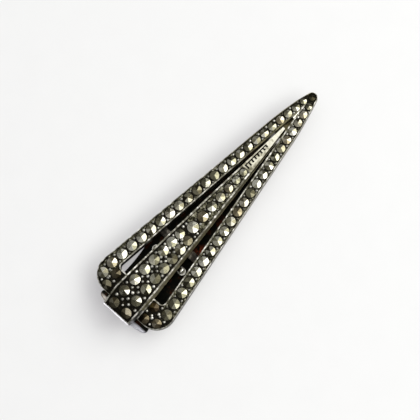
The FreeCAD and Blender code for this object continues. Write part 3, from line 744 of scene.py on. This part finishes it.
def carved(bm, cutter):
    """The solid less the cutter's solids; both meshes are used up."""
    pieces = []
    for mesh_in in (bm, cutter):
        mesh = bpy.data.meshes.new("carving")
        bmesh.ops.recalc_face_normals(mesh_in, faces=mesh_in.faces)
        mesh_in.to_mesh(mesh)
        mesh_in.free()
        for material in SETTING_FINISH:
            mesh.materials.append(material)
        piece = bpy.data.objects.new("carving", mesh)
        bpy.context.scene.collection.objects.link(piece)
        pieces.append(piece)
    block, tool = pieces
    cut = block.modifiers.new("cut", "BOOLEAN")
    cut.operation, cut.solver, cut.object = "DIFFERENCE", "EXACT", tool
    evaluated = block.evaluated_get(bpy.context.evaluated_depsgraph_get())
    result = bmesh.new()
    result.from_mesh(evaluated.to_mesh())
    for piece in pieces:
        bpy.data.objects.remove(piece)
    return result


CUTS_START_Y = 8.9 * MM
CUTS_PITCH = 0.78 * MM
CUTS = 8
CUT_DEPTH = 0.17 * MM
CUT_WIDTH = 0.17 * MM
BORDER_WIDTH = 0.12 * MM
CUTS_SHARE = -0.62  # they start at this share of the plain tip's half width


def add_notch(cutter, start, end, up, width, depth):
    """A solid that cuts a V-shaped notch along a line on a surface."""
    side = (end - start).cross(up).normalized() * width
    rings = []
    for place in (start, end):
        lift = up * depth
        corners = (place + lift + side * 2, place + lift - side * 2, place - lift)
        rings.append([cutter.verts.new(corner) for corner in corners])
        cutter.faces.new(rings[-1])
    for i in range(3):
        j = (i + 1) % 3
        cutter.faces.new((rings[0][i], rings[0][j], rings[1][j], rings[1][i]))
    for face in cutter.faces:
        face.material_index = DARK_SLOT


def on_plain_tip(bm, share, y):
    """The point of the plain tip's top at y and this share of its half width, and up there."""
    x = share * (wedge_x(y) + WEDGE_RIM)
    return BVHTree.FromBMesh(bm).ray_cast(Vector((x, y, 1)), Vector((0, 0, -1)))[:2]


def graver_cuts(bm):
    """Short notches across the wedge's plain tip, as one cutter."""
    cutter = bmesh.new()
    for k in range(CUTS):
        y = CUTS_START_Y + CUTS_PITCH * k
        lean = RANDOM.uniform(-0.1, 0.1) * MM
        start, up = on_plain_tip(bm, CUTS_SHARE, y - lean)
        end, _ = on_plain_tip(bm, RANDOM.uniform(0.2, 0.36), y + lean)
        add_notch(cutter, start, end, up, CUT_WIDTH, CUT_DEPTH * RANDOM.uniform(0.75, 1.0))
    return cutter


def border_cut(bm):
    """A long notch that joins the ends of the short ones."""
    cutter = bmesh.new()
    start, up = on_plain_tip(bm, CUTS_SHARE, CUTS_START_Y - 0.2 * MM)
    end, _ = on_plain_tip(bm, CUTS_SHARE, CUTS_START_Y + CUTS_PITCH * (CUTS - 0.7))
    add_notch(cutter, start, end, up, BORDER_WIDTH, CUT_DEPTH * 0.8)
    return cutter


def make_setting(node, bm):
    piece = make_object(node + "_metal", bm, SETTING_FINISH)
    ease_edges(piece, 0.045 * MM, 35.0)
    mount(piece, "setting", "set_silver", node)


arms = welded("arm_frame")
paint(arms, frame_choice)
make_setting("arm_frame", arms)
wedge = welded("centre_wedge")
paint(wedge, wedge_choice, [PLAIN_START_Y])
wedge = carved(wedge, graver_cuts(wedge))
make_setting("centre_wedge", carved(wedge, border_cut(wedge)))


# ---------------------------------------------------------------- grains, leaves and threads

def add_grain(bm, foot, up, size=1.0, dullest=0.3, brightest=1.0):
    """A bead of metal pushed up from the floor, uneven in size and brightness."""
    radius = GRAIN * size * RANDOM.uniform(0.72, 1.15)
    tilt = Vector((RANDOM.uniform(-0.4, 0.4), RANDOM.uniform(-0.4, 0.4), 1.0)).normalized()
    axis = (up + tilt * 0.8).normalized()
    profile = [(r * radius, h * radius) for r, h in GRAIN_PROFILE]
    tone = RANDOM.uniform(dullest, brightest)
    middle = foot + up * GRAIN_LIFT
    for face in lathe(bm, middle, axis, profile, GRAIN_SIDES, RANDOM.uniform(0, 1)):
        face[bm.faces.layers.float["tone"]] = tone


def between(first, second, share=0.5):
    """A place on the floor between two stones, with its up direction."""
    foot = first.floor.lerp(second.floor, share)
    return foot, (first.up + second.up).normalized()


def beside(first, second):
    """Level direction across the line from one stone to the next."""
    along = (second.floor - first.floor).normalized()
    up = (first.up + second.up).normalized()
    return along.cross(up).normalized()


def is_free(foot, clear=0.04 * MM):
    """Whether a place on the floor is outside every stone."""
    return all((foot - s.floor).length > s.radius + clear for row in stones.values() for s in row)


def add_arm_grains(bm, row):
    """Two grains in each gap, one to each side of the row."""
    for first, second in zip(row, row[1:]):
        foot, up = between(first, second)
        across = beside(first, second)
        reach = 0.8 * (first.radius + second.radius) / 2
        for side in (-1, 1):
            shift = across * side * reach * RANDOM.uniform(0.9, 1.08)
            add_grain(bm, foot + shift, up, 0.9, 0.0, 0.6)


def add_pair_grains(bm, left, right):
    """A diamond of four grains between four stones, and one beside each rim."""
    for a, b, c, d in zip(left, left[1:], right, right[1:]):
        foot, up = between(a, d)
        along = (b.floor - a.floor) / 2 * 0.54
        across = (c.floor - a.floor) / 2
        for shift in (along, -along, across * 0.5, across * -0.5, across * 1.55, across * -1.55):
            add_grain(bm, foot + shift * RANDOM.uniform(0.9, 1.05), up)


def add_corner_grains(bm, row):
    """Grains wherever two neighbouring corner stones leave room."""
    for k, first in enumerate(row):
        for second in row[k + 1:]:
            if (first.floor - second.floor).length > 1.6 * (first.radius + second.radius):
                continue
            foot, up = between(first, second)
            across = beside(first, second)
            for side in (-1, 1):
                shift = across * side * 0.7 * first.radius
                if is_free(foot + shift):
                    add_grain(bm, foot + shift, up)


def add_leaf(bm, first, second, outward, reach, depth):
    """A raised leaf of metal between two stones and a rim, as deep as this share of a stone."""
    along = (second.floor - first.floor).normalized()
    up = (first.up + second.up).normalized()
    half = (second.floor - first.floor).length / 2

    def flank(stone, way):
        ring = stone.radius + GAP
        start = math.asin(min(reach / ring, 0.985))
        end = math.asin(min(depth, 0.9 * reach / ring))
        points = []
        for k in range(LEAF_STEPS + 1):
            angle = start + (end - start) * k / LEAF_STEPS
            run = min(ring * math.cos(angle), half * 0.97)
            points.append(stone.floor + along * way * run + outward * ring * math.sin(angle))
        return points

    left, right = flank(first, 1), flank(second, -1)
    if reach > first.radius + GAP:
        left.insert(0, first.floor + along * 0.1 * half + outward * reach)
        right.insert(0, second.floor - along * 0.1 * half + outward * reach)
    outline = left + right[::-1]
    slab(bm, [p - up * LEAF_FOOT for p in outline], up, LEAF_FOOT + RECESS * 0.5)


def add_row_leaves(bm, row, side, rim_x, depth):
    """Leaves along one rim of a row of stones, as deep as this share of a stone.

    rim_x gives the rim's distance from the axis at a y.
    """
    for first, second in zip(row, row[1:]):
        middle = first.floor.lerp(second.floor, 0.5)
        reach = abs(rim_x(middle.y) - abs(middle.x)) - 0.02 * MM
        add_leaf(bm, first, second, Vector((side, 0, 0)), reach, depth)


def add_threads(bm):
    """A thread of metal beside each slot's rim, a dark groove between them."""
    for side in (-1, 1):
        points = []
        for k in range(THREAD_STEPS + 1):
            y = THREAD_START_Y + (THREAD_END_Y - THREAD_START_Y) * k / THREAD_STEPS
            height = interpolate(frame_floor, y) + RECESS * 0.55
            points.append(Vector((side * (slot_x(y) + THREAD_SET), y, height)))
        sweep(bm, points, [THREAD] * len(points))


def make_ridge():
    """The two slots' rims run together into one ridge that points at the tip."""
    bm = bmesh.new()
    points, radii = [], []
    for k in range(RIDGE_STEPS + 1):
        share = k / RIDGE_STEPS
        y = RIDGE_START_Y + (RIDGE_END_Y - RIDGE_START_Y) * share
        points.append(Vector((0, y, interpolate(frame_floor, y) + RECESS * 0.5)))
        radii.append(RIDGE * (1 - 0.65 * share))
    sweep(bm, points, radii, 12)
    mount(make_object("ridge", bm, [BRIGHT], 40.0), "setting", "set_silver")


def make_grains():
    bm = bmesh.new()
    bm.faces.layers.float.new("tone")
    for row in arm_rows:
        add_arm_grains(bm, row)
    add_pair_grains(bm, *pair_rows)
    for first, second in zip(single_row, single_row[1:]):
        foot, up = between(first, second)
        for side in (-1, 1):
            add_grain(bm, foot + Vector((side * 0.6 * second.radius, 0, 0)), up, 0.85, 0.0, 0.8)
    first = single_row[0]
    for back in (0.35 * MM, 1.15 * MM):
        y = first.floor.y - back
        for side in (-1, 1):
            foot = Vector((side * (wedge_x(y) - 0.42 * MM), y, interpolate(wedge_floor, y)))
            if is_free(foot):
                add_grain(bm, foot, first.up)
    for corner, arm in zip(CORNER_NODES, arm_rows):
        add_corner_grains(bm, stones[corner] + arm[:1])
    piece = make_object("grains", bm, [BEAD], 60.0)
    mount(piece, "setting", "set_silver")


def make_filling():
    """Threads along the slots and leaves of metal between the stones and the rims."""
    bm = bmesh.new()
    add_threads(bm)
    for row, side in zip(arm_rows, (-1, 1)):
        add_row_leaves(bm, row, -side, lambda y: slot_x(y) + SLOT_RIM, 0.75)
        add_row_leaves(bm, row, side, outer_x, 0.75)
    for side in (-1, 1):
        add_row_leaves(bm, single_row, side, wedge_x, 0.6)
    piece = make_object("filling", bm, [LEAF], 40.0)
    mount(piece, "setting", "set_silver")


make_grains()
make_filling()
make_ridge()


# ---------------------------------------------------------------- end wall, hinge, spring and clip

def refine(node, body, slot, material, width):
    """The CAD node's shape with eased edges, its own finish and a worn underside."""
    bm = welded(node)
    paint(bm, lambda middle, normal: int(normal.z < -0.5))
    piece = make_object(node + "_finished", bm, [material, UNDER])
    ease_edges(piece, width, 30.0)
    mount(piece, body, slot, node)


SPRING_TURNS = 4.5
WIRE = 0.17 * MM
COIL = 0.72 * MM
TURN_STEPS = 28


def make_spring():
    """Wire coiled on the pin: one leg presses on the bar, the other on the lever, which it follows."""
    low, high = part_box("torsion_spring")
    axis = Vector(frame["joints"][0]["pos_m"])
    half = high.x - WIRE * 1.06
    inset = WIRE / 2
    points = [Vector((-half, low.y + inset, low.z + WIRE))]
    steps = int(SPRING_TURNS * TURN_STEPS)
    for k in range(steps + 1):
        angle = math.tau * k / TURN_STEPS
        across = -half + 2 * half * k / steps
        points.append(Vector((across, axis.y + COIL * math.sin(angle), axis.z - COIL * math.cos(angle))))
    points.append(Vector((half, low.y + inset, high.z - WIRE)))
    bm = bmesh.new()
    sweep(bm, points, [WIRE] * len(points), 12)
    piece = make_object("spring_wire", bm, [STEEL], 50.0)
    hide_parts("torsion_spring")
    top = Vector((0, axis.y, axis.z + COIL * 0.6))
    foot = Vector((0, axis.y, axis.z - COIL * 0.6))
    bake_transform(piece, "setting", "clip", start=top, end=foot)


refine("end_wall", "setting", "bright_silver", POLISHED, 0.07 * MM)
for bar in ("rear_bar", "front_bar", "hinge_bracket"):
    refine(bar, "setting", "back_silver", BACK, 0.06 * MM)
refine("tip_backing", "setting", "back_silver", OLIVE, 0.06 * MM)
for ball in ("pin_ball_left", "pin_ball_right"):
    refine(ball, "setting", "bright_silver", BALL, 0.04 * MM)
refine("hinge_pin", "setting", "spring_steel", STEEL, 0.03 * MM)
refine("jaw_comb", "clip", "lever_silver", BACK, 0.05 * MM)
refine("clip_lever", "clip", "lever_silver", LEVER, 0.06 * MM)
make_spring()


# ---------------------------------------------------------------- floor, light and camera

FIELD = 79.4 * MM  # width of what the camera sees at the brooch
LENS = 120.0
SENSOR = 36.0
HEADING = math.radians(47.9)  # the brooch's long axis above the picture's horizontal
LEAN_X = math.radians(9.0)  # the camera stands this far towards +X from straight above
LEAN_Y = math.radians(6.0)  # and this far towards the wide end
AIM = Vector((0.0, -1.9 * MM, 6.0 * MM))


def make_camera():
    """A long lens that looks down on the front, with the tip to the upper right."""
    back = Vector((math.tan(LEAN_X), -math.tan(LEAN_Y), 1.0)).normalized()
    along = Vector((0, 1, 0))
    along = (along - back * along.dot(back)).normalized()
    across = back.cross(along)
    right = along * math.cos(HEADING) - across * math.sin(HEADING)
    up = along * math.sin(HEADING) + across * math.cos(HEADING)
    camera = bpy.data.objects.new("camera", bpy.data.cameras.new("camera"))
    camera.data.lens = LENS
    camera.data.sensor_width = SENSOR
    camera.data.clip_start = 0.01
    camera.data.clip_end = 20.0
    matrix = Matrix((right, up, back)).transposed().to_4x4()
    matrix.translation = AIM + back * (FIELD * LENS / SENSOR)
    camera.matrix_world = matrix
    bpy.context.scene.collection.objects.link(camera)
    bpy.context.scene.camera = camera


TABLE_HALF = 1.5
# painted light: the floor's glow lightens its shadows, and its lavender tint colours them
TABLE_GLOW = 0.3
TABLE_TINT = (1.0, 0.96, 1.0, 1.0)


def make_floor():
    """A pale table that glows evenly, a painted light that lifts the shadows cast on it."""
    bm = bmesh.new()
    bmesh.ops.create_grid(bm, x_segments=4, y_segments=4, size=TABLE_HALF)
    f = Finish("light_table", Roughness=0.9, Emission_Color=TABLE_TINT, Emission_Strength=TABLE_GLOW)
    tone = f.noise(6.0 * MM, 3.0)
    f.set("Base Color", f.ramp(tone, (0.3, (0.52, 0.53, 0.515)), (0.7, (0.53, 0.54, 0.525))))
    floor = make_object("floor", bm, [f.material])
    floor.location.z = CAD_BOX[0].z


def area_light(name, toward, distance, width, height, power, colour):
    """A soft light panel that shines at the brooch from a direction."""
    data = bpy.data.lights.new(name, "AREA")
    data.shape = "RECTANGLE"
    data.size, data.size_y = width, height
    data.energy = power
    data.color = colour
    light = bpy.data.objects.new(name, data)
    direction = Vector(toward).normalized()
    light.location = direction * distance
    light.rotation_euler = direction.to_track_quat("Z", "Y").to_euler()
    bpy.context.scene.collection.objects.link(light)


BRIGHT_SKY = (0.0, 0.1, 1.0)  # the studio is brightest this way
SKY = ((0.0, 0.07), (0.6, 0.26), (0.8, 0.6), (0.95, 1.25))  # how bright, by closeness to it


def make_world():
    """A pale studio, bright overhead and grey towards the horizon."""
    world = bpy.data.worlds.new("studio")
    world.use_nodes = True
    tree = world.node_tree
    background = tree.nodes["Background"]
    place = tree.nodes.new("ShaderNodeTexCoord")
    facing = tree.nodes.new("ShaderNodeVectorMath")
    facing.operation = "DOT_PRODUCT"
    facing.inputs[1].default_value = Vector(BRIGHT_SKY).normalized()
    ramp = tree.nodes.new("ShaderNodeValToRGB")
    tree.links.new(place.outputs["Generated"], facing.inputs[0])
    tree.links.new(facing.outputs["Value"], ramp.inputs["Fac"])
    tree.links.new(ramp.outputs["Color"], background.inputs["Color"])
    points = ramp.color_ramp.elements
    while len(points) < len(SKY):
        points.new(0.5)
    for point, (position, grey) in zip(points, SKY):
        point.position = position
        point.color = (grey, grey, grey * 1.015, 1.0)
    bpy.context.scene.world = world


make_camera()
make_floor()
make_world()
area_light("key", (0.49, 0.24, 0.85), 0.65, 0.45, 0.3, 1.45, (1.0, 1.0, 0.99))
area_light("window", (0.3, 0.68, 0.69), 0.6, 0.6, 0.42, 2.6, (1.0, 1.0, 0.98))
bpy.context.scene.view_settings.view_transform = "Standard"
